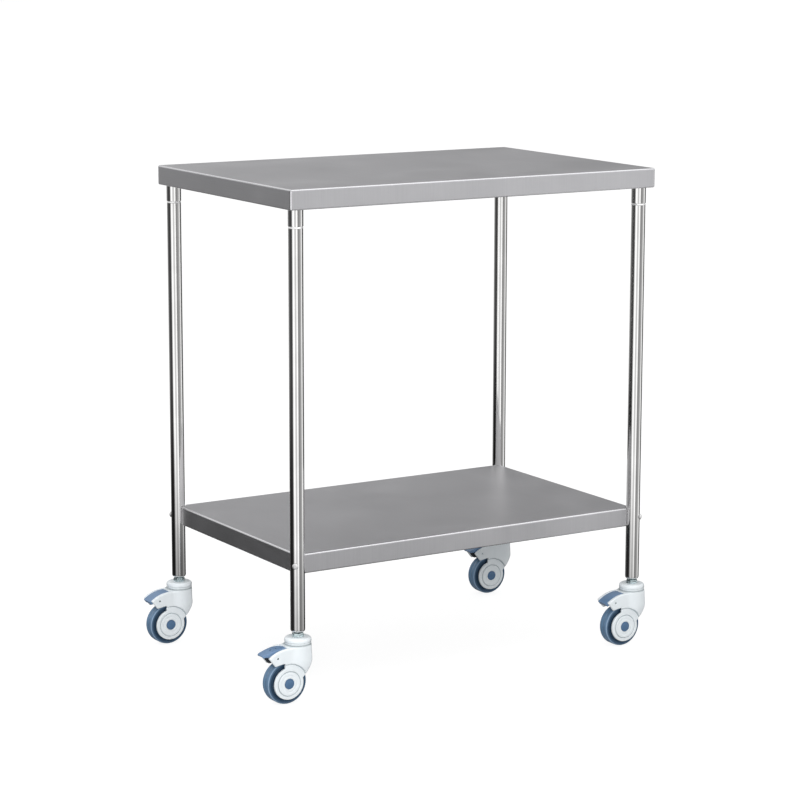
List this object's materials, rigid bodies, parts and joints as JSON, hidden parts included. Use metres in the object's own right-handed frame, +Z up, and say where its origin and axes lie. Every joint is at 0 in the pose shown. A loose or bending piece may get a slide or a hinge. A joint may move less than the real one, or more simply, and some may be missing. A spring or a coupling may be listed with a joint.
{
  "type": "surgical instrument table",
  "caption": "Mobile stainless-steel instrument table: folded flat top and lower shelf on round tube legs, rolling on plastic swivel casters with foot brakes on one diagonal pair",
  "frame": {"origin": "on the floor, at the middle of the whole object's box in X and Y; the tyres touch z = 0", "axes": "+X along the table's length, to the right of somebody in front of it; the casters trail towards -X. +Y from the front long side to the back. +Z up."},
  "size_m": [0.8062, 0.495, 0.8825],
  "materials": {
    "brushed_steel": "fine satin brushing along the length, with polished folded edges",
    "polished_steel": "bright polished stainless tube, blurred mirror bands along it",
    "zinc_steel": "bright zinc plating, slightly blue",
    "white_plastic": "bluish white moulded nylon, fine texture",
    "blue_plastic": "grey-blue moulded plastic, satin",
    "tyre_rubber": "dark grey-blue soft tread, matt"
  },
  "bodies": {
    "table": {"top_panel": "brushed_steel", "shelf_panel": "brushed_steel", "top_stiffener": "brushed_steel", "shelf_stiffener": "brushed_steel", "front_left_leg": "polished_steel", "front_left_leg_socket": "polished_steel", "front_left_leg_insert": "zinc_steel", "front_left_shelf_screw": "polished_steel", "front_left_caster_stem": "zinc_steel", "front_left_swivel_cap": "white_plastic", "front_right_leg": "polished_steel", "front_right_leg_socket": "polished_steel", "front_right_leg_insert": "zinc_steel", "front_right_shelf_screw": "polished_steel", "front_right_caster_stem": "zinc_steel", "front_right_swivel_cap": "white_plastic", "back_left_leg": "polished_steel", "back_left_leg_socket": "polished_steel", "back_left_leg_insert": "zinc_steel", "back_left_shelf_screw": "polished_steel", "back_left_caster_stem": "zinc_steel", "back_left_swivel_cap": "white_plastic", "back_right_leg": "polished_steel", "back_right_leg_socket": "polished_steel", "back_right_leg_insert": "zinc_steel", "back_right_shelf_screw": "polished_steel", "back_right_caster_stem": "zinc_steel", "back_right_swivel_cap": "white_plastic"},
    "front_left_caster": {"front_left_fork": "white_plastic", "front_left_cross_pin": "zinc_steel", "front_left_axle": "zinc_steel", "front_left_hub_cap_front": "blue_plastic", "front_left_hub_cap_rear": "blue_plastic"},
    "front_left_wheel": {"front_left_tyre": "tyre_rubber", "front_left_wheel_core": "white_plastic"},
    "front_left_pedal": {"front_left_brake_pedal": "blue_plastic"},
    "front_right_caster": {"front_right_fork": "white_plastic", "front_right_cross_pin": "zinc_steel", "front_right_axle": "zinc_steel", "front_right_hub_cap_front": "blue_plastic", "front_right_hub_cap_rear": "blue_plastic", "front_right_pedal_cover": "blue_plastic"},
    "front_right_wheel": {"front_right_tyre": "tyre_rubber", "front_right_wheel_core": "white_plastic"},
    "back_left_caster": {"back_left_fork": "white_plastic", "back_left_cross_pin": "zinc_steel", "back_left_axle": "zinc_steel", "back_left_hub_cap_front": "blue_plastic", "back_left_hub_cap_rear": "blue_plastic", "back_left_pedal_cover": "blue_plastic"},
    "back_left_wheel": {"back_left_tyre": "tyre_rubber", "back_left_wheel_core": "white_plastic"},
    "back_right_caster": {"back_right_fork": "white_plastic", "back_right_cross_pin": "zinc_steel", "back_right_axle": "zinc_steel", "back_right_hub_cap_front": "blue_plastic", "back_right_hub_cap_rear": "blue_plastic"},
    "back_right_wheel": {"back_right_tyre": "tyre_rubber", "back_right_wheel_core": "white_plastic"},
    "back_right_pedal": {"back_right_brake_pedal": "blue_plastic"}
  },
  "joints": [
    {"name": "front_left_swivel", "type": "hinge", "parent": "table", "child": "front_left_caster", "pos_m": [-0.32816, -0.2238, 0.09], "axis": [0, 0, 1], "continuous": true},
    {"name": "front_left_wheel_spin", "type": "hinge", "parent": "front_left_caster", "child": "front_left_wheel", "pos_m": [-0.35516, -0.2238, 0.0375], "axis": [0, 1, 0], "continuous": true},
    {"name": "front_left_brake", "type": "hinge", "parent": "front_left_caster", "child": "front_left_pedal", "pos_m": [-0.36016, -0.2238, 0.091], "axis": [0, -1, 0], "range_deg": [0, 12]},
    {"name": "front_right_swivel", "type": "hinge", "parent": "table", "child": "front_right_caster", "pos_m": [0.37944, -0.2238, 0.09], "axis": [0, 0, 1], "continuous": true},
    {"name": "front_right_wheel_spin", "type": "hinge", "parent": "front_right_caster", "child": "front_right_wheel", "pos_m": [0.35244, -0.2238, 0.0375], "axis": [0, 1, 0], "continuous": true},
    {"name": "back_left_swivel", "type": "hinge", "parent": "table", "child": "back_left_caster", "pos_m": [-0.32816, 0.2238, 0.09], "axis": [0, 0, 1], "continuous": true},
    {"name": "back_left_wheel_spin", "type": "hinge", "parent": "back_left_caster", "child": "back_left_wheel", "pos_m": [-0.35516, 0.2238, 0.0375], "axis": [0, 1, 0], "continuous": true},
    {"name": "back_right_swivel", "type": "hinge", "parent": "table", "child": "back_right_caster", "pos_m": [0.37944, 0.2238, 0.09], "axis": [0, 0, 1], "continuous": true},
    {"name": "back_right_wheel_spin", "type": "hinge", "parent": "back_right_caster", "child": "back_right_wheel", "pos_m": [0.35244, 0.2238, 0.0375], "axis": [0, 1, 0], "continuous": true},
    {"name": "back_right_brake", "type": "hinge", "parent": "back_right_caster", "child": "back_right_pedal", "pos_m": [0.34744, 0.2238, 0.091], "axis": [0, -1, 0], "range_deg": [0, 12]}
  ]
}
